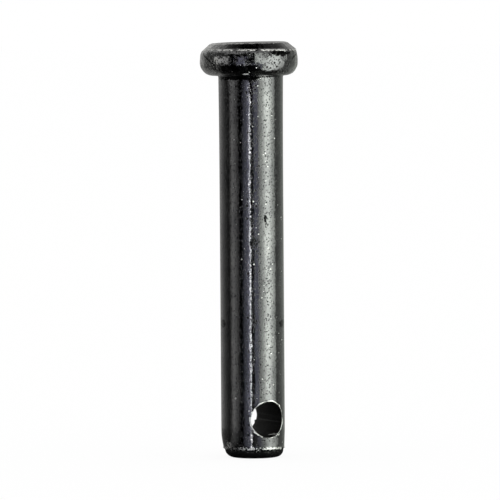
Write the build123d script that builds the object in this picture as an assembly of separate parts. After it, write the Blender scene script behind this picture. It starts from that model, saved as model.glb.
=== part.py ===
from build123d import *
import os

# Clevis pin, quarter inch by one and a half inches, of blackened steel.
#
# The pin is one piece. A round blank is cold-headed into a barrel-sided head with a bevelled
# top, its other end is drawn in to a blunt rounded point, and a hole for a split pin is drilled
# across the shank just above that point. The eyes of a clevis and of the rod between them slide
# over the shank from the point up to the flat ring under the head, and the split pin in the
# cross hole keeps them there.
#
# Frame: millimetres, +Z up. The origin is the centre of the flat end at the point, on the
# shank's axis, and the pin stands on that end with its head up. The cross hole runs along Y.

# Shank
shank_diameter = 6.3            # quarter-inch pin, a little under its nominal size
under_head_length = 38.1        # from the flat end at the point to the ring under the head
neck_fillet = 0.15              # the fillet in the corner between shank and head

# Head
head_diameter = 9.75            # at the widest part of the barrel-shaped side
head_height = 3.38
head_offset = 0.2               # how far cold heading has left the head off the shank's axis
ring_width = 0.2                # the flat ring under the head, on its narrow side
underside_height = 1.3          # the large round from the ring up to the side
side_lean = 0.15                # how far the side has curved in by the foot of the bevel
bevel_width = 0.95              # the bevel round the head's top, across the axis
bevel_height = 0.8              # the same bevel, along the axis
bevel_crest_round = 0.5         # the soft crest between the bevel and the side
bevel_top_round = 0.4           # the soft edge between the bevel and the flat top

# Point
draw_length = 3.0               # the end of the shank over which it is drawn in
draw_depth = 0.12               # how much the radius has shrunk by the end of that length
point_round = 0.9               # the round from the drawn end to the flat end

# Cross hole for the split pin
hole_diameter = 3.6
hole_height = 3.9               # the hole's axis above the flat end
hole_edge_break = 0.1           # the small chamfer that takes the burr off both mouths

shank_radius = shank_diameter / 2
head_radius = head_diameter / 2


def shank():
    """The shank with its drawn-in end and rounded point, up to the plane under the head."""
    drawn_radius = shank_radius - draw_depth
    flat_radius = drawn_radius - point_round
    with BuildPart() as blank:
        with BuildSketch(Plane.XZ):
            with BuildLine():
                flat_end = Line((0, 0), (flat_radius, 0))
                point = CenterArc((flat_radius, point_round), point_round, -90, 90)
                side = Line((shank_radius, draw_length), (shank_radius, under_head_length))
                TangentArc(side @ 0, point @ 1, tangent=(0, -1))
                Polyline(side @ 1, (0, under_head_length), flat_end @ 0)
            make_face()
        revolve(axis=Axis.Z)
    return blank.part


def head():
    """The barrel-sided head, on its own axis, with its underside on the plane Z = 0."""
    ring_radius = shank_radius + head_offset + ring_width
    crest = (head_radius - side_lean, head_height - bevel_height)
    with BuildPart() as upset:
        with BuildSketch(Plane.XZ) as section:
            with BuildLine():
                underside = Line((0, 0), (ring_radius, 0))
                turn_under = EllipticalCenterArc(
                    (ring_radius, underside_height),
                    head_radius - ring_radius,
                    underside_height,
                    start_angle=-90,
                    arc_size=90,
                )
                side = TangentArc(turn_under @ 1, crest, tangent=(0, 1))
                bevel = Line(side @ 1, (side @ 1) + Vector(-bevel_width, bevel_height))
                Polyline(bevel @ 1, (0, head_height), underside @ 0)
            make_face()
            fillet(section.vertices().sort_by_distance(side @ 1)[0], bevel_crest_round)
            fillet(section.vertices().sort_by_distance(bevel @ 1)[0], bevel_top_round)
        revolve(axis=Axis.Z)
    return upset.part


def clevis_pin():
    """The whole pin: the shank with its head upset a little off centre, and the cross hole."""
    with BuildPart() as pin:
        add(shank())
        with Locations((-head_offset, 0, under_head_length)):
            add(head())
        shank_side = pin.faces().filter_by(GeomType.CYLINDER)
        neck = shank_side.edges().filter_by(GeomType.CIRCLE).sort_by(Axis.Z)[-1]
        fillet(neck, neck_fillet)
        with Locations(Location((0, 0, hole_height), (90, 0, 0))):
            Cylinder(hole_diameter / 2, 2 * shank_diameter, mode=Mode.SUBTRACT)
        hole_wall = pin.faces(Select.LAST).filter_by(GeomType.CYLINDER).sort_by(SortBy.RADIUS)[0]
        mouths = hole_wall.edges().filter_by(GeomType.LINE, reverse=True)
        chamfer(mouths, hole_edge_break)
    return pin.part


os.makedirs("parts", exist_ok=True)
export_step(clevis_pin(), "parts/clevis_pin.step")
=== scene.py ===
import math

import bpy
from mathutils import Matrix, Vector


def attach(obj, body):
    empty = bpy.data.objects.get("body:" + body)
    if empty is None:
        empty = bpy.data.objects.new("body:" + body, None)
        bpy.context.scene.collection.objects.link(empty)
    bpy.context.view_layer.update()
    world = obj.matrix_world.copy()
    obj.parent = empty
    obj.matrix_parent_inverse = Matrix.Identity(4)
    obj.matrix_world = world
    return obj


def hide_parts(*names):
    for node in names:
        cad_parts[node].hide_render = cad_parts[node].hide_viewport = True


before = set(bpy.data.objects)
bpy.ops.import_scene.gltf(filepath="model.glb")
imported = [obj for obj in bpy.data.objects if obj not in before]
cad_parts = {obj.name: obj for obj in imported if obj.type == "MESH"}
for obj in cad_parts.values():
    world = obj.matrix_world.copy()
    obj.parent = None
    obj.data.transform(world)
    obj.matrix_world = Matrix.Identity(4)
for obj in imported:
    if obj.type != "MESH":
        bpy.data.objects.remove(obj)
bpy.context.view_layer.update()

# ---------------------------------------------------------------------------------------------
# Sizes, in millimetres. MM turns them into the scene's metres.
# ---------------------------------------------------------------------------------------------
MM = 0.001

shank_radius = 3.18
under_head_height = 38.1
neck_fillet = 0.15
neck_swell = 0.05               # the shank is a little fatter where the head was upset
neck_swell_start = 29.0

head_radius = 4.875
head_height = 3.38
head_offset = 0.2
ring_width = 0.2
underside_height = 1.3
side_lean = 0.15
bevel_width = 0.95
bevel_height = 0.8
crest_height = under_head_height + head_height - bevel_height
crest_round = 0.14              # how far the soft crest reaches either way along the outline
top_round = 0.25
head_top_tilt = 1.2             # degrees; the die left the head's top a little out of square

draw_length = 3.0
draw_depth = 0.16
point_round = 0.9

hole_radius = 1.8
hole_height = 3.92
hole_offset = 0.06              # the drill ran a little to one side
burr_width = 0.09
burr_height = 0.07

lip_height = 0.95               # the ragged lip left where the point was turned
lip_depth = 0.1                 # how far the turned point lies inside the lip
lip_overhang = 0.03             # how far the lip stands out from the shank's skin
point_drift = 0.16              # the turned point runs a little off the shank's axis
point_drift_turn = -29.5        # which way, in degrees round the axis from +X
point_drift_reach = 2.6         # how far up the pin the drift is felt

steps_round = 192               # faces round the pin
drill_steps_round = 128
shank_ring_gap = 0.4            # rings along the shank
hole_ring_gap = 0.12            # finer rings where the hole is drilled
hole_ring_margin = 0.6          # how far past the hole the finer rings go
same_height = 0.001             # heights that differ by less than this are the same
smooth_below = 35               # degrees; a sharper edge stays crisp


def deselect_all():
    bpy.ops.object.select_all(action="DESELECT")


def make_active(piece):
    deselect_all()
    piece.select_set(True)
    bpy.context.view_layer.objects.active = piece


# ---------------------------------------------------------------------------------------------
# The pin's outline, from the middle of the flat end up to the middle of the head's top
# ---------------------------------------------------------------------------------------------
def arc(middle, size, start, end, steps):
    """Points on an upright ellipse's arc, from one angle to another in degrees."""
    points = []
    for step in range(steps + 1):
        angle = math.radians(start + (end - start) * step / steps)
        across, up = size[0] * math.cos(angle), size[1] * math.sin(angle)
        points.append((middle[0] + across, middle[1] + up))
    return points


def rounded(before, corner, after, reach, steps=4):
    """A corner of the outline, softened by a curve that starts and ends at that reach from it."""
    start = corner + (before - corner).normalized() * reach
    end = corner + (after - corner).normalized() * reach
    points = []
    for step in range(steps + 1):
        t = step / steps
        point = start * (1 - t) ** 2 + corner * 2 * t * (1 - t) + end * t**2
        points.append(tuple(point))
    return points


def shank_radius_at(height):
    """The shank's radius, which shrinks towards the drawn point and swells under the head."""
    if height < draw_length:
        left = (draw_length - height) / (draw_length - point_round)
        return shank_radius - draw_depth * left**2
    if height > neck_swell_start:
        climbed = (height - neck_swell_start) / (under_head_height - neck_swell_start)
        return shank_radius + neck_swell * climbed**2
    return shank_radius


def lip_outline(turned_radius):
    """The ragged lip, from the top of the turned point out to the shank's skin."""
    lip_radius = shank_radius_at(lip_height) + lip_overhang
    skin_height = lip_height + 0.15
    return [
        (turned_radius + 0.015, lip_height - 0.2),
        (turned_radius + 0.045, lip_height - 0.11),
        (lip_radius - 0.02, lip_height - 0.06),
        (lip_radius, lip_height),
        (lip_radius - 0.01, lip_height + 0.07),
        (shank_radius_at(skin_height), skin_height),
    ]


def shank_outline():
    drawn_radius = shank_radius - draw_depth
    flat_radius = drawn_radius - point_round
    points = [(flat_radius * share, 0) for share in (0, 0.35, 0.7)]
    turned = point_round - lip_depth
    points += arc((flat_radius, turned), (turned, turned), -90, -12, 9)
    points += lip_outline(points[-1][0])
    height = points[-1][1]
    top = under_head_height - neck_fillet
    hole_reach = hole_radius + hole_ring_margin
    while height < top - shank_ring_gap:
        near_hole = abs(height - hole_height) < hole_reach
        height += hole_ring_gap if near_hole else shank_ring_gap
        points.append((shank_radius_at(height), height))
    neck_radius = shank_radius_at(top)
    points += arc((neck_radius + neck_fillet, top), (neck_fillet, neck_fillet), 180, 90, 4)
    return points


def head_outline():
    """The head's underside, side, soft crest, bevel and flat top."""
    ring_radius = shank_radius + head_offset + ring_width
    middle = (ring_radius, underside_height)
    size = (head_radius - ring_radius, underside_height)
    points = arc(middle, size, -90, 0, 12)
    crest = Vector((head_radius - side_lean, head_height - bevel_height))
    side_steps = 6
    for step in range(1, side_steps):
        share = step / side_steps
        height = underside_height + (head_height - bevel_height - underside_height) * share
        points.append((head_radius - side_lean * share**2, height))
    below = Vector(points.pop())
    top_edge = crest + Vector((-bevel_width, bevel_height))
    points += rounded(below, crest, top_edge, crest_round)
    points += rounded(crest, top_edge, Vector((0, head_height)), top_round)
    points += [(top_edge.x * share, head_height) for share in (0.85, 0.6, 0.3, 0)]
    return [(radius, height + under_head_height) for radius, height in points]


def spun_blank(name, outline):
    """Draws the outline by extruding one corner point along it, and spins it round the axis."""
    deselect_all()
    bpy.ops.mesh.primitive_plane_add(size=MM, location=(0, 0, 0))
    piece = bpy.context.object
    piece.name = name
    bpy.ops.object.mode_set(mode="EDIT")
    bpy.ops.mesh.select_mode(type="VERT")
    bpy.ops.mesh.select_all(action="SELECT")
    bpy.ops.mesh.merge(type="CENTER")
    at = Vector((0, 0, 0))
    for radius, height in outline[1:]:
        to = Vector((radius * MM, 0, height * MM))
        bpy.ops.mesh.extrude_vertices_move(TRANSFORM_OT_translate={"value": to - at})
        at = to
    bpy.ops.mesh.select_all(action="SELECT")
    bpy.ops.mesh.spin(steps=steps_round, angle=math.tau, center=(0, 0, 0), axis=(0, 0, 1))
    bpy.ops.mesh.select_all(action="SELECT")
    bpy.ops.mesh.remove_doubles(threshold=same_height * MM)
    bpy.ops.mesh.normals_make_consistent(inside=False)
    bpy.ops.object.mode_set(mode="OBJECT")
    return piece


def select_where(piece, test):
    """Selects the vertices whose place, in millimetres, passes the test, and enters edit mode."""
    make_active(piece)
    bpy.ops.object.mode_set(mode="EDIT")
    bpy.ops.mesh.select_mode(type="VERT")
    bpy.ops.mesh.select_all(action="DESELECT")
    bpy.ops.object.mode_set(mode="OBJECT")
    for vertex in piece.data.vertices:
        vertex.select = test(vertex.co / MM)
    bpy.ops.object.mode_set(mode="EDIT")


def set_head_askew(piece):
    """Shifts the head off the shank's axis and tips its top out of square."""
    ring_middle = shank_radius + neck_fillet + head_offset / 2
    select_where(
        piece,
        lambda at: at.z > under_head_height + same_height
        or (at.z > under_head_height - same_height and at.xy.length > ring_middle),
    )
    bpy.ops.transform.translate(value=(-head_offset * MM, 0, 0))
    bpy.ops.object.mode_set(mode="OBJECT")
    below_crest = crest_height - crest_round - 0.01
    high_side = head_radius - bevel_width - head_offset
    select_where(piece, lambda at: at.z > below_crest)
    bpy.ops.transform.rotate(
        value=math.radians(head_top_tilt),
        orient_axis="Y",
        center_override=(high_side * MM, 0, (under_head_height + head_height) * MM),
    )
    bpy.ops.object.mode_set(mode="OBJECT")


def set_point_askew(piece):
    """Drifts the turned point off the shank's axis, most at its flat end."""
    select_where(piece, lambda at: at.z < same_height)
    turn = math.radians(point_drift_turn)
    bpy.ops.transform.translate(
        value=Vector((math.cos(turn), math.sin(turn), 0)) * point_drift * MM,
        use_proportional_edit=True,
        proportional_edit_falloff="SMOOTH",
        proportional_size=point_drift_reach * MM,
    )
    bpy.ops.object.mode_set(mode="OBJECT")


def drill_hole(piece):
    """Cuts the cross hole straight through the shank."""
    deselect_all()
    bpy.ops.mesh.primitive_cylinder_add(
        vertices=drill_steps_round,
        radius=hole_radius * MM,
        depth=4 * shank_radius * MM,
        location=(hole_offset * MM, 0, hole_height * MM),
        rotation=(math.pi / 2, 0, 0),
    )
    drill = bpy.context.object
    make_active(piece)
    cut = piece.modifiers.new("cross_hole", "BOOLEAN")
    cut.operation = "DIFFERENCE"
    cut.solver = "EXACT"
    cut.object = drill
    bpy.ops.object.modifier_apply(modifier=cut.name)
    bpy.data.objects.remove(drill)


def roughen(piece, name, grain_size, strength, middle=0.5, keep=lambda at: True):
    """Pushes the selected vertices that pass keep in and out by a soft noise; leaves edit mode."""
    bpy.ops.object.mode_set(mode="OBJECT")
    patch = piece.vertex_groups.new(name=name)
    chosen = [one.index for one in piece.data.vertices if one.select and keep(one.co / MM)]
    patch.add(chosen, 1.0, "REPLACE")
    noise = bpy.data.textures.new(name, "CLOUDS")
    noise.noise_scale = grain_size * MM
    push = piece.modifiers.new(name, "DISPLACE")
    push.texture = noise
    push.texture_coords = "LOCAL"
    push.vertex_group = patch.name
    push.mid_level = middle
    push.strength = strength * MM
    make_active(piece)
    bpy.ops.object.modifier_apply(modifier=push.name)
    piece.vertex_groups.clear()


def raise_burr(piece):
    """Rounds the hole's two mouths and pushes the edge of the one on the -Y side out unevenly, as
    the drill left it.
    """

    near = 0.004

    def on_mouth(at):
        from_hole = math.hypot(at.x - hole_offset, at.z - hole_height)
        from_skin = at.xy.length - shank_radius_at(at.z)
        return abs(from_hole - hole_radius) < near and abs(from_skin) < near

    select_where(piece, on_mouth)
    bpy.ops.mesh.bevel(offset=burr_width * MM, segments=3, profile=0.6)
    roughen(piece, "burr", 0.35, burr_height, middle=0.3, keep=lambda at: at.y < 0)


def wear_edges(piece):
    """Leaves the point's lip and the head's crest uneven, and the head's sides a little dented."""
    edge_grain, edge_wear = 0.3, 0.12
    dent_grain, dent_depth = 0.8, 0.1
    lip_inside, crest_inside, sides_inside = 2.9, 4.4, 3.6
    select_where(piece, lambda at: abs(at.z - lip_height) < 0.09 and at.xy.length > lip_inside)
    roughen(piece, "lip", edge_grain, edge_wear, middle=0.45)
    select_where(
        piece,
        lambda at: abs(at.z - crest_height) < crest_round and at.xy.length > crest_inside,
    )
    roughen(piece, "crest", edge_grain, edge_wear, middle=0.6)
    select_where(
        piece,
        lambda at: at.z > under_head_height + 0.2 and at.xy.length > sides_inside,
    )
    roughen(piece, "head", dent_grain, dent_depth, middle=0.55)


def make_pin():
    pin = spun_blank("pin", shank_outline() + head_outline())
    set_head_askew(pin)
    set_point_askew(pin)
    wear_edges(pin)
    drill_hole(pin)
    raise_burr(pin)
    make_active(pin)
    bpy.ops.object.shade_smooth_by_angle(angle=math.radians(smooth_below))
    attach(pin, "root")
    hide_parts("clevis_pin")
    return pin


# ---------------------------------------------------------------------------------------------
# Finish: glossy black oxide with bare steel where it has worn or was cut, and painted shade and
# highlights
# ---------------------------------------------------------------------------------------------
class Recipe:
    """Adds nodes to a material and joins them. A value may be a number or another node's socket."""

    def __init__(self, name):
        self.material = bpy.data.materials.new(name)
        self.material.use_nodes = True
        self.tree = self.material.node_tree
        self.shader = self.tree.nodes["Principled BSDF"]
        self.place = self.place_in_millimetres()

    def node(self, kind, **settings):
        made = self.tree.nodes.new(kind)
        for name, value in settings.items():
            setattr(made, name, value)
        return made

    def give(self, socket, value):
        if isinstance(value, bpy.types.NodeSocket):
            self.tree.links.new(value, socket)
        else:
            socket.default_value = value

    def place_in_millimetres(self):
        coordinates = self.node("ShaderNodeTexCoord")
        mapping = self.node("ShaderNodeMapping")
        mapping.inputs["Scale"].default_value = (1 / MM, 1 / MM, 1 / MM)
        self.give(mapping.inputs["Vector"], coordinates.outputs["Object"])
        return mapping.outputs["Vector"]

    def math(self, operation, first, second=0.0, clamp=False):
        made = self.node("ShaderNodeMath", operation=operation, use_clamp=clamp)
        self.give(made.inputs[0], first)
        self.give(made.inputs[1], second)
        return made.outputs[0]

    def plus(self, first, second):
        return self.math("ADD", first, second)

    def minus(self, first, second):
        return self.math("SUBTRACT", first, second)

    def times(self, first, *others):
        product = first
        for other in others:
            product = self.math("MULTIPLY", product, other)
        return product

    def size(self, value):
        return self.math("ABSOLUTE", value)

    def length(self, first, second):
        return self.math("SQRT", self.plus(self.times(first, first), self.times(second, second)))

    def either(self, *masks):
        whole = masks[0]
        for mask in masks[1:]:
            whole = self.math("MAXIMUM", whole, mask)
        return whole

    def fade(self, value, start, end, low=0.0, high=1.0):
        """low up to start, high from end on, and a smooth step between."""
        made = self.node("ShaderNodeMapRange", interpolation_type="SMOOTHSTEP")
        self.give(made.inputs["Value"], value)
        self.give(made.inputs["From Min"], start)
        self.give(made.inputs["From Max"], end)
        self.give(made.inputs["To Min"], low)
        self.give(made.inputs["To Max"], high)
        return made.outputs["Result"]

    def band(self, value, middle, half_width, soft):
        """1 within half_width of middle, fading to 0 over soft."""
        past = self.minus(self.size(self.minus(value, middle)), half_width)
        return self.fade(past, 0, soft, 1, 0)

    def grain(self, scale, detail, roughness=0.5):
        made = self.node("ShaderNodeTexNoise")
        self.give(made.inputs["Vector"], self.place)
        made.inputs["Scale"].default_value = scale
        made.inputs["Detail"].default_value = detail
        made.inputs["Roughness"].default_value = roughness
        return made.outputs["Fac"]

    def dots(self, scale, size, soft, share, offset=(0, 0, 0)):
        """Scattered round dots: 1 on a dot and 0 off it. share is how many cells have one."""
        moved = self.node("ShaderNodeMapping")
        moved.inputs["Location"].default_value = offset
        self.give(moved.inputs["Vector"], self.place)
        cells = self.node("ShaderNodeTexVoronoi", feature="F1")
        self.give(cells.inputs["Vector"], moved.outputs["Vector"])
        cells.inputs["Scale"].default_value = scale
        chance = self.node("ShaderNodeSeparateColor")
        self.give(chance.inputs["Color"], cells.outputs["Color"])
        kept = self.math("LESS_THAN", chance.outputs["Red"], share)
        reach = self.times(self.fade(chance.outputs["Green"], 0, 1, 0.5, 1.0), size * scale)
        past = self.minus(cells.outputs["Distance"], reach)
        return self.times(self.fade(past, -soft * scale, 0, 1, 0), kept)

    def mix(self, share, first, second):
        made = self.node("ShaderNodeMix", data_type="RGBA")
        self.give(made.inputs["Factor"], share)
        self.give(made.inputs["A"], first)
        self.give(made.inputs["B"], second)
        return made.outputs["Result"]


class PinSkin(Recipe):
    """A recipe that knows places on the pin: z millimetres up it and turn degrees round it."""

    def __init__(self, name):
        super().__init__(name)
        axes = self.node("ShaderNodeSeparateXYZ")
        self.give(axes.inputs["Vector"], self.place)
        x, y, self.z = (axes.outputs[name] for name in "XYZ")
        # the turn is counted to the right of the cross hole
        self.turn = self.times(self.math("ARCTAN2", x, self.times(y, -1)), 180 / math.pi)
        self.from_head_axis = self.length(self.plus(x, head_offset), y)
        self.from_hole = self.length(self.minus(x, hole_offset), self.minus(self.z, hole_height))
        self.near_hole = self.fade(self.z, 8, 7)
        self.on_head = self.fade(self.z, under_head_height - 0.05, under_head_height + 0.1)
        self.head_sides = self.fade(self.size(self.plus(self.turn, 14)), 50, 60)

        self.fine = self.grain(3.3, 1.5, 0.6)
        self.speckle = self.grain(5.5, 1.0)
        self.coarse = self.grain(1.2, 2.0)
        self.broad = self.grain(0.3, 1.0)
        self.ragged = self.plus(self.times(self.fine, 0.6), self.times(self.coarse, 0.4))
        wander = self.plus(self.times(self.fine, 0.6), self.times(self.speckle, 0.4))
        self.fine_wander = self.minus(wander, 0.5)
        self.coarse_wander = self.minus(self.coarse, 0.5)

    def wandering(self, value, amount):
        """The value, shaken a little from place to place, so that an edge set by it is ragged."""
        return self.plus(value, self.times(self.fine_wander, amount))

    def spot(self, at_turn, half_turn, at_height, half_height, raggedness=1.5):
        """A ragged patch round a place on the skin: 1 inside and 0 outside."""
        away = self.length(
            self.math("DIVIDE", self.minus(self.turn, at_turn), half_turn),
            self.math("DIVIDE", self.minus(self.z, at_height), half_height),
        )
        return self.fade(self.wandering(away, raggedness * 2), 1.15, 0.85)

    def painted_reflection_line(self, from_turn, from_height, to_turn, to_height):
        """A thin ragged dark line of painted reflection on the head's side, from one place to
        another.
        """
        whole_turn = to_turn - from_turn
        along = self.math("DIVIDE", self.minus(self.turn, from_turn), whole_turn, clamp=True)
        line = self.plus(self.times(along, to_height - from_height), from_height)
        dark_line = self.band(self.wandering(self.minus(self.z, line), 0.2), 0, 0.08, 0.05)
        return self.times(dark_line, self.band(self.turn, from_turn + whole_turn / 2, whole_turn / 2, 2))


def hole_rim(skin):
    """Bare steel on the burr round the cross hole's mouths."""
    outside = skin.fade(skin.from_hole, hole_radius, hole_radius + 0.03)
    width = skin.wandering(skin.plus(burr_width, skin.times(skin.coarse_wander, 0.45)), 0.35)
    past_rim = skin.minus(skin.minus(skin.from_hole, hole_radius), width)
    return skin.times(skin.fade(past_rim, 0.02, -0.02), outside, skin.near_hole)


def point_lip(skin):
    """Bare steel along the ragged lip, more of it on the hole's side."""
    line = skin.wandering(skin.minus(skin.z, lip_height + 0.05), 1.1)
    hole_side = skin.fade(skin.size(skin.plus(skin.turn, 8)), 35, 50, 1, 0.25)
    broken = skin.fade(skin.plus(skin.ragged, skin.times(hole_side, 0.08)), 0.5, 0.54)
    return skin.times(skin.band(line, 0, 0.09, 0.05), broken)


def worn_and_painted_highlight_crest(skin):
    """A broken line of bare steel where the head's side meets its bevel: a worn edge, partly a
    painted highlight.
    """
    line = skin.wandering(skin.minus(skin.z, crest_height), 0.3)
    line = skin.plus(line, skin.times(skin.turn, 0.0006))
    return skin.times(
        skin.band(line, 0, 0.05, 0.05),
        skin.fade(skin.ragged, 0.46, 0.53),
        skin.fade(skin.from_head_axis, 4.3, 4.4),
        skin.fade(skin.turn, -75, -25, 0.55, 1),
    )


def painted_highlight_on_head_top_edge(skin):
    """A broken line of painted highlight round the edge of the head's top, in the colour of bare
    steel.
    """
    return skin.times(
        skin.band(skin.wandering(skin.from_head_axis, 0.15), 3.72, 0.06, 0.05),
        skin.fade(skin.z, 41.0, 41.05),
        skin.fade(skin.ragged, 0.42, 0.5),
        skin.fade(skin.turn, -30, 0, 0.8, 0.45),
    )


def worn_and_painted_highlight_patches(skin):
    """Bare steel rubbed through by the point, on the bevel and by the hole, and a dotted painted
    highlight at the neck.
    """
    patches = skin.either(
        skin.times(skin.spot(-83, 8, 1.3, 0.35, 3.0), skin.fade(skin.speckle, 0.48, 0.52)),
        skin.times(skin.spot(-106, 12, 40.95, 0.35, 0.8), 0.35),
        skin.spot(22, 4, 2.4, 0.15),
        # A painted highlight: a dotted bright line where the head meets the neck.
        skin.times(skin.spot(-8, 13, 38.1, 0.06, 1.0), skin.fade(skin.speckle, 0.46, 0.52)),
    )
    return skin.times(patches, skin.fade(skin.speckle, 0.44, 0.54))


# Bare steel where it has worn or was cut, and painted highlights in the same colour on the head and
# at the neck.
def bare_steel_and_painted_highlight_places(skin):
    flecks = skin.dots(2.1, 0.085, 0.03, 0.1)
    faint_flecks = skin.times(skin.dots(3.9, 0.07, 0.03, 0.08, (9.4, 1.3, 6.6)), 0.5)
    # A painted highlight: a small bright glint on the head's underside, next to the neck.
    painted_neck_glint = skin.spot(-36, 4.5, 38.3, 0.07, 0.3)
    return skin.either(
        hole_rim(skin),
        point_lip(skin),
        worn_and_painted_highlight_crest(skin),
        painted_highlight_on_head_top_edge(skin),
        worn_and_painted_highlight_patches(skin),
        painted_neck_glint,
        flecks,
        faint_flecks,
    )


def rubbed_places(skin):
    """Speckled grey wear on the head's sides and on its bevel."""
    low_on_head = skin.fade(skin.plus(skin.z, skin.coarse_wander), 40.2, 39.4, 0.5, 1)
    rubbed = skin.either(
        skin.times(skin.spot(-77, 22, 41.05, 0.3), 0.6),
        skin.times(skin.spot(42, 12, 41.05, 0.3), 0.6),
        skin.times(skin.on_head, skin.head_sides, low_on_head),
    )
    return skin.times(rubbed, skin.fade(skin.speckle, 0.5, 0.57))


def painted_shade_under_head(skin):
    """Painted shade, near black, on the head's underside, less of it on the sides. Its edge is high
    on the left and drops to the right.
    """
    edge = skin.fade(skin.turn, -25, -12, 39.25, 38.62)
    below = skin.fade(skin.minus(skin.wandering(skin.z, 1.2), edge), 0.12, -0.12)
    return skin.times(below, skin.on_head, skin.minus(1, skin.times(skin.head_sides, 0.85)))


# Painted shadow: a black band round the neck just under the head.
def painted_shadow_on_neck(skin):
    edge = skin.fade(skin.turn, -25, -5, 37.68, 37.95)
    above = skin.fade(skin.minus(skin.wandering(skin.z, 0.6), edge), -0.04, 0.06)
    return skin.times(above, skin.fade(skin.z, 38.12, 38.05))


# A painted dark reflection on the upper bevel, on the side towards the cross hole.
def painted_dark_reflection_on_bevel(skin):
    rise = skin.minus(skin.wandering(skin.z, 0.3), crest_height)
    reach = skin.wandering(skin.from_head_axis, 0.2)
    hole_side = skin.fade(skin.size(skin.plus(skin.turn, 22)), 32, 55, 1, 0)
    return skin.times(skin.fade(rise, 0.1, 0.2), skin.fade(reach, 3.78, 3.84), hole_side)


# Near black: painted shade under the head, on the neck and on the bevel, painted reflection lines
# on the head's sides, and dark marks on the shank and head.
def painted_shade_and_dark_mark_places(skin):
    front_dark_marks = skin.either(skin.spot(-25, 9, 21.6, 0.7), skin.spot(-25, 5, 13.6, 0.3))
    return skin.either(
        painted_shade_under_head(skin),
        painted_shadow_on_neck(skin),
        painted_dark_reflection_on_bevel(skin),
        skin.painted_reflection_line(-99, 40.3, -82, 39.55),
        skin.painted_reflection_line(31, 39.85, 48, 40.3),
        skin.spot(12, 14, 40.36, 0.24, 2.0),
        skin.spot(-4, 3, 23.9, 0.3, 2.5),
        # Dark marks on both sides of the shank, a third of the way up.
        skin.spot(-98, 14, 13.45, 0.4, 1.0),
        skin.spot(39, 12, 13.45, 0.4, 1.0),
        skin.times(front_dark_marks, skin.fade(skin.speckle, 0.47, 0.51)),
    )


def pit_places(skin):
    """Large pits, which crowd on the head and above the hole, and small ones all over."""
    above_hole = skin.spot(-1, 12, 6.8, 1.0, 1.0)
    crowding = skin.plus(skin.times(above_hole, 0.75), skin.times(skin.on_head, 0.45))
    pits = skin.dots(2.7, 0.14, 0.05, skin.plus(0.25, crowding), (3.1, 7.7, 1.9))
    small_pits = skin.dots(6.2, 0.078, 0.025, 0.8, (5.3, 2.2, 8.4))
    return pits, small_pits


# The colour of bare steel, also used for painted highlights on the head and at the neck.
bare_steel_and_highlight_white = (0.85, 0.85, 0.83, 1)
rubbed_grey = (0.42, 0.42, 0.41, 1)
oxide_light = (0.16, 0.16, 0.162, 1)
oxide_dark = (0.11, 0.11, 0.114, 1)
hole_black = (0.012, 0.012, 0.011, 1)
pit_black = (0.008, 0.008, 0.008, 1)
# Near black, for painted shade and dark marks.
painted_shade_and_dark_mark_black = (0.003, 0.003, 0.003, 1)


def black_steel():
    """The whole pin's finish: its colour, its roughness and its bump."""
    skin = PinSkin("black_oxide_steel")
    # bare: bare steel where worn or cut, with painted highlights on the head and at the neck.
    bare = bare_steel_and_painted_highlight_places(skin)
    rubbed = rubbed_places(skin)
    # scale holds painted shade and painted reflection lines on the head and neck, and dark marks on
    # the shank and head.
    scale = painted_shade_and_dark_mark_places(skin)
    pits, small_pits = pit_places(skin)
    all_pits = skin.either(skin.times(pits, 0.9), skin.times(small_pits, 0.75))
    inside_hole = skin.fade(skin.from_hole, hole_radius + 0.01, hole_radius - 0.005)
    inside_hole = skin.times(inside_hole, skin.near_hole)

    broad_tone = skin.times(skin.fade(skin.broad, 0.35, 0.65), 0.7)
    fine_tone = skin.times(skin.fade(skin.speckle, 0.35, 0.65), 0.3)
    colour = skin.mix(skin.plus(broad_tone, fine_tone), oxide_dark, oxide_light)
    colour = skin.mix(all_pits, colour, pit_black)
    colour = skin.mix(skin.times(rubbed, 0.8), colour, rubbed_grey)
    colour = skin.mix(scale, colour, painted_shade_and_dark_mark_black)
    colour = skin.mix(inside_hole, colour, hole_black)
    colour = skin.mix(bare, colour, bare_steel_and_highlight_white)
    skin.give(skin.shader.inputs["Base Color"], colour)
    skin.shader.inputs["Metallic"].default_value = 1

    roughness = skin.either(
        skin.fade(skin.coarse, 0.3, 0.7, 0.07, 0.12),
        skin.times(skin.on_head, 0.12),
        skin.times(rubbed, 0.35),
        skin.times(bare, 0.5),
        skin.times(inside_hole, 0.6),
    )
    skin.give(skin.shader.inputs["Roughness"], roughness)

    # how high the surface stands, in millimetres
    height = skin.times(skin.fine, skin.plus(0.014, skin.times(skin.on_head, 0.007)))
    speckle_height = skin.plus(0.005, skin.times(skin.on_head, 0.005))
    height = skin.plus(height, skin.times(skin.speckle, speckle_height))
    height = skin.plus(height, skin.times(skin.coarse, 0.014))
    height = skin.plus(height, skin.times(skin.broad, 0.02))
    height = skin.plus(height, skin.times(bare, 0.015))
    for sunk, depth in ((pits, 0.02), (small_pits, 0.012), (scale, 0.01)):
        height = skin.minus(height, skin.times(sunk, depth))
    bump = skin.node("ShaderNodeBump")
    bump.inputs["Strength"].default_value = 1.0
    bump.inputs["Distance"].default_value = MM
    skin.give(bump.inputs["Height"], height)
    skin.give(skin.shader.inputs["Normal"], bump.outputs["Normal"])
    return skin.material


# ---------------------------------------------------------------------------------------------
# Studio
# ---------------------------------------------------------------------------------------------
view_azimuth = -29.5            # the camera stands this far round from the cross hole's axis
view_elevation = 3.0
view_roll = 0.4
view_distance = 500.0
view_width = 49.9               # how wide the view is where the pin stands
view_height_on_pin = 20.69
view_shift_left = 0.185
sensor_width = 36.0
near_limit = 10.0               # nothing nearer to the camera than this is seen


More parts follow.
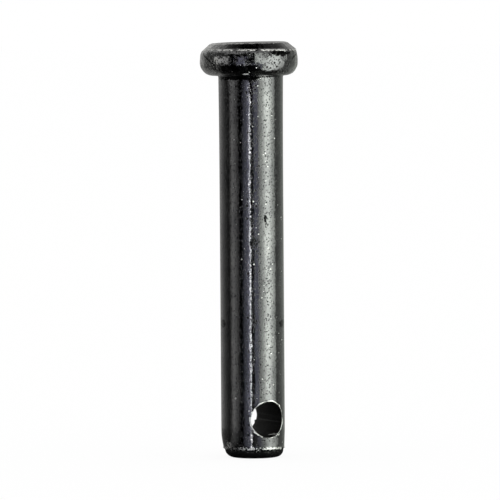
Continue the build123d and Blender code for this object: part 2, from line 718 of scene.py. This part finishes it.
def view_directions():
    """Back from the pin to the camera, and to the camera's right."""
    turn = math.radians(view_azimuth)
    rise = math.radians(view_elevation)
    back = Vector(
        (math.sin(turn) * math.cos(rise), -math.cos(turn) * math.cos(rise), math.sin(rise))
    )
    right = Vector((math.cos(turn), math.sin(turn), 0))
    return back, right


def level_directions():
    """From the pin towards the camera and to the camera's right, both level."""
    back, right = view_directions()
    return Vector((back.x, back.y, 0)).normalized(), right


def make_camera():
    back, right = view_directions()
    target = Vector((0, 0, view_height_on_pin)) - right * view_shift_left
    bpy.ops.object.camera_add(location=(target + back * view_distance) * MM)
    camera = bpy.context.object
    camera.data.sensor_width = sensor_width
    camera.data.lens = sensor_width * view_distance / view_width
    camera.data.clip_start = near_limit * MM
    camera.rotation_euler = (-back).to_track_quat("-Z", "Y").to_euler()
    camera.rotation_euler.rotate_axis("Z", math.radians(-view_roll))
    bpy.context.scene.camera = camera


# The light tent is what the pin's gloss reflects. Each row of its cloth is (turn, brightness,
# tint), with the turn in degrees to the right of the camera. Between two rows it fades evenly.
neutral = (1.0, 1.0, 0.975)
cool = (0.9, 0.92, 1.14)
warm_green = (0.98, 1.03, 0.95)
tent_wall = (
    (-180, 0.3, neutral),
    (-150, 0.4, neutral),
    (-138, 0.5, neutral),
    (-120, 0.3, neutral),
    (-98, 0.08, neutral),
    (-83, 0.03, neutral),
    (-76, 0.5, neutral),
    (-68, 0.68, neutral),
    (-58, 0.42, neutral),
    (-47, 0.16, neutral),
    (-44.5, 0.0, neutral),
    (-31, 0.0, neutral),
    (-28, 0.2, cool),
    (-16, 0.42, cool),
    (-8, 1.1, cool),
    (-6.4, 1.4, cool),
    (-6.0, 0.0, neutral),
    (6.5, 0.0, neutral),
    (9, 0.45, cool),
    (12, 0.5, cool),
    (21, 0.45, cool),
    (27, 1.0, warm_green),
    (35, 1.6, warm_green),
    (44, 2.7, warm_green),
    (51, 4.2, warm_green),
    (62, 4.4, warm_green),
    (69, 3.2, warm_green),
    (82, 1.8, warm_green),
    (88.5, 1.4, warm_green),
    (90, 0.2, warm_green),
    (110, 0.33, warm_green),
    (128, 0.48, warm_green),
    (150, 0.5, warm_green),
    (180, 0.3, neutral),
)
# The same for the wall at the height of the pin's head.
tent_shoulder = (
    (-180, 0.2, neutral),
    (-165, 0.3, neutral),
    (-145, 0.7, neutral),
    (-130, 0.6, neutral),
    (-118, 0.3, neutral),
    (-98, 0.08, neutral),
    (-86, 0.05, neutral),
    (-80, 1.0, neutral),
    (-66, 1.6, neutral),
    (-50, 1.2, neutral),
    (-44, 0.3, neutral),
    (-41, 0.0, neutral),
    (-28, 0.0, neutral),
    (-25, 0.25, cool),
    (-16, 0.7, cool),
    (-8, 0.6, cool),
    (-4, 0.0, cool),
    (11, 0.0, neutral),
    (15, 2.0, warm_green),
    (26, 3.4, warm_green),
    (40, 3.4, warm_green),
    (51, 4.6, warm_green),
    (62, 4.6, warm_green),
    (80, 3.0, warm_green),
    (89, 1.0, warm_green),
    (92, 0.2, warm_green),
    (118, 0.3, warm_green),
    (140, 0.55, warm_green),
    (150, 0.6, neutral),
    (165, 0.3, neutral),
    (180, 0.2, neutral),
)
# The top of the wall, under the sloping roof.
tent_eaves = (
    (-180, 0.5, neutral),
    (-145, 0.9, neutral),
    (-115, 0.2, neutral),
    (-80, 0.15, neutral),
    (-40, 0.0, neutral),
    (11, 0.0, neutral),
    (15, 2.2, warm_green),
    (34, 2.2, warm_green),
    (42, 0.0, neutral),
    (80, 0.1, neutral),
    (115, 0.2, neutral),
    (145, 0.7, neutral),
    (180, 0.5, neutral),
)
tent_roof_glow = (
    (-180, 0.3, neutral),
    (-90, 0.9, neutral),
    (90, 1.0, neutral),
    (180, 0.3, neutral),
)
# The cloth that lies on the floor, which the point and the head's underside reflect.
tent_apron = (
    (-180, 0.3, neutral),
    (-98, 0.08, neutral),
    (-83, 0.03, neutral),
    (-76, 0.2, neutral),
    (-68, 0.3, neutral),
    (-58, 0.2, neutral),
    (-43, 0.0, neutral),
    (-32, 0.0, neutral),
    (-28, 0.15, cool),
    (-8, 0.6, cool),
    (-6.0, 0.9, cool),
    (-2.3, 0.0, neutral),
    (9, 0.1, neutral),
    (21, 0.35, cool),
    (35, 0.9, warm_green),
    (51, 2.5, warm_green),
    (62, 2.7, warm_green),
    (84, 1.2, warm_green),
    (92, 0.9, warm_green),
    (94, 0.22, warm_green),
    (150, 0.4, warm_green),
    (180, 0.3, neutral),
)
# A slit of bright light runs along the floor and up the wall, nearly as high as the shank.
slit_turns = (-6.0, -4.5)
slit_glow = 14.0
slit_height = 36.0
slit_to_cloth = 0.5             # how far inside the wall the slit hangs
tent_apron_radius = 7.0
tent_radius = 30.0
tent_shoulder_height = 37.6
tent_eaves_height = 46.0
tent_wall_height = 60.0
tent_roof_radius = 12.0
tent_roof_height = 86.0
tent_steps_round = 720
tent_lift = 0.02                # between the layers that lie on the floor
card_black = (0.01, 0.01, 0.01, 1)

floor_width = 6000.0
floor_paper = (0.85, 0.85, 0.85, 1)
floor_whiteness = 0.9           # how far the floor is white to the camera and in the gloss
room_light = 1.15


def glow_at(table, turn):
    """The tent's colour at a turn, read between the two entries on either side of it."""
    for low, high in zip(table, table[1:]):
        if turn <= high[0]:
            break
    share = (turn - low[0]) / (high[0] - low[0])
    return [
        low[1] * low[2][channel] * (1 - share) + high[1] * high[2][channel] * share
        for channel in range(3)
    ]


def glowing(name):
    """A material that only glows, and the node that says how."""
    material = bpy.data.materials.new(name)
    material.use_nodes = True
    tree = material.node_tree
    tree.nodes.clear()
    emission = tree.nodes.new("ShaderNodeEmission")
    output = tree.nodes.new("ShaderNodeOutputMaterial")
    tree.links.new(emission.outputs["Emission"], output.inputs["Surface"])
    return material, emission


def tent_cloth():
    """Cloth that glows by the colours stored on its mesh."""
    material, emission = glowing("tent_cloth")
    tree = material.node_tree
    attribute = tree.nodes.new("ShaderNodeAttribute")
    attribute.attribute_name = "glow"
    tree.links.new(attribute.outputs["Color"], emission.inputs["Color"])
    return material


def make_tent_band(name, table, cloth, low, high):
    """A ring of glowing cloth from one radius and height to another."""
    deselect_all()
    bpy.ops.mesh.primitive_cone_add(
        vertices=tent_steps_round,
        radius1=low[0] * MM,
        radius2=high[0] * MM,
        depth=(high[1] - low[1]) * MM,
        end_fill_type="NOTHING",
        location=(0, 0, (low[1] + high[1]) / 2 * MM),
    )
    band = bpy.context.object
    band.name = name
    towards_camera, right = level_directions()
    glow = band.data.color_attributes.new("glow", "FLOAT_COLOR", "POINT")
    for vertex in band.data.vertices:
        turn = math.degrees(math.atan2(vertex.co.dot(right), vertex.co.dot(towards_camera)))
        glow.data[vertex.index].color = (*glow_at(table, turn), 1)
    band.data.materials.append(cloth)
    hide_from_camera(band)


def make_slit(name, low, high):
    """A narrow glowing ribbon just inside the tent, from one radius and height to another."""
    towards_camera, right = level_directions()
    deselect_all()
    bpy.ops.mesh.primitive_plane_add(size=MM)
    ribbon = bpy.context.object
    ribbon.name = name
    corners = []
    for radius, height in (low, high):
        for turn in slit_turns:
            angle = math.radians(turn)
            out = towards_camera * math.cos(angle) + right * math.sin(angle)
            corners.append((out * radius + Vector((0, 0, height))) * MM)
    for vertex, corner in zip(ribbon.data.vertices, corners):
        vertex.co = corner
    material, emission = glowing(name)
    emission.inputs["Strength"].default_value = slit_glow
    ribbon.data.materials.append(material)
    hide_from_camera(ribbon)


def make_black_card(name, radius, height):
    """A round black card that closes an end of the tent."""
    deselect_all()
    bpy.ops.mesh.primitive_circle_add(
        vertices=96, radius=radius * MM, fill_type="NGON", location=(0, 0, height * MM)
    )
    card = bpy.context.object
    card.name = name
    material = bpy.data.materials.new("black_card")
    material.use_nodes = True
    shader = material.node_tree.nodes["Principled BSDF"]
    shader.inputs["Base Color"].default_value = card_black
    shader.inputs["Roughness"].default_value = 0.9
    card.data.materials.append(material)
    hide_from_camera(card)


def hide_from_camera(card):
    """Leaves cloth, a ribbon or a card to be seen only in the pin's gloss."""
    card.visible_camera = False
    card.visible_diffuse = False
    card.visible_shadow = False


def make_light_tent():
    """Cloth on the floor, up the wall and over the roof, with the slit and the two cards."""
    foot = (tent_radius, 0)
    shoulder = (tent_radius, tent_shoulder_height)
    eaves = (tent_radius, tent_eaves_height)
    wall_top = (tent_radius, tent_wall_height)
    roof_top = (tent_roof_radius, tent_roof_height)
    apron_inside = (tent_apron_radius, tent_lift)
    apron_outside = (tent_radius, 2 * tent_lift)
    cloth = tent_cloth()
    make_tent_band("tent_apron", tent_apron, cloth, apron_inside, apron_outside)
    make_tent_band("tent_wall", tent_wall, cloth, foot, shoulder)
    make_tent_band("tent_shoulder", tent_shoulder, cloth, shoulder, eaves)
    make_tent_band("tent_eaves", tent_eaves, cloth, eaves, wall_top)
    make_tent_band("tent_roof", tent_roof_glow, cloth, wall_top, roof_top)
    slit_radius = tent_radius - slit_to_cloth
    slit_foot = 3 * tent_lift
    make_slit("wall_slit", (slit_radius, slit_foot), (slit_radius, slit_height))
    make_slit("floor_slit", (tent_apron_radius, slit_foot), (slit_radius, slit_foot + 0.01))
    make_black_card("roof_card", tent_roof_radius, tent_roof_height)
    make_black_card("low_card", tent_apron_radius, tent_lift)


def background_share(tree):
    """1 on rays that should see the white background: camera, glossy and transmission rays."""
    path = tree.nodes.new("ShaderNodeLightPath")
    first = tree.nodes.new("ShaderNodeMath")
    first.operation = "MAXIMUM"
    second = tree.nodes.new("ShaderNodeMath")
    second.operation = "MAXIMUM"
    tree.links.new(path.outputs["Is Camera Ray"], first.inputs[0])
    tree.links.new(path.outputs["Is Glossy Ray"], first.inputs[1])
    tree.links.new(first.outputs[0], second.inputs[0])
    tree.links.new(path.outputs["Is Transmission Ray"], second.inputs[1])
    return second.outputs[0]


def make_floor():
    """White paper that still takes the pin's shadow."""
    deselect_all()
    bpy.ops.mesh.primitive_plane_add(size=floor_width * MM)
    floor = bpy.context.object
    floor.name = "floor"
    material = bpy.data.materials.new("white_paper")
    material.use_nodes = True
    tree = material.node_tree
    tree.nodes.clear()
    paper = tree.nodes.new("ShaderNodeBsdfDiffuse")
    paper.inputs["Color"].default_value = floor_paper
    white = tree.nodes.new("ShaderNodeEmission")
    mix = tree.nodes.new("ShaderNodeMixShader")
    share = tree.nodes.new("ShaderNodeMath")
    share.operation = "MULTIPLY"
    share.inputs[1].default_value = floor_whiteness
    output = tree.nodes.new("ShaderNodeOutputMaterial")
    tree.links.new(background_share(tree), share.inputs[0])
    tree.links.new(share.outputs[0], mix.inputs[0])
    tree.links.new(paper.outputs["BSDF"], mix.inputs[1])
    tree.links.new(white.outputs["Emission"], mix.inputs[2])
    tree.links.new(mix.outputs["Shader"], output.inputs["Surface"])
    floor.data.materials.append(material)


def make_world():
    """An even white room, which lights the pin and is white behind it."""
    world = bpy.data.worlds.new("white_studio")
    world.use_nodes = True
    bpy.context.scene.world = world
    tree = world.node_tree
    tree.nodes.clear()
    seen = tree.nodes.new("ShaderNodeBackground")
    seen.inputs["Color"].default_value = (1, 1, 1, 1)
    lit = tree.nodes.new("ShaderNodeBackground")
    lit.inputs["Color"].default_value = (1, 1, 1, 1)
    lit.inputs["Strength"].default_value = room_light
    mix = tree.nodes.new("ShaderNodeMixShader")
    output = tree.nodes.new("ShaderNodeOutputWorld")
    tree.links.new(background_share(tree), mix.inputs[0])
    tree.links.new(lit.outputs["Background"], mix.inputs[1])
    tree.links.new(seen.outputs["Background"], mix.inputs[2])
    tree.links.new(mix.outputs["Shader"], output.inputs["Surface"])


pin = make_pin()
pin.data.materials.append(black_steel())
make_floor()
make_world()
make_light_tent()
make_camera()
bpy.context.scene.view_settings.view_transform = "Standard"
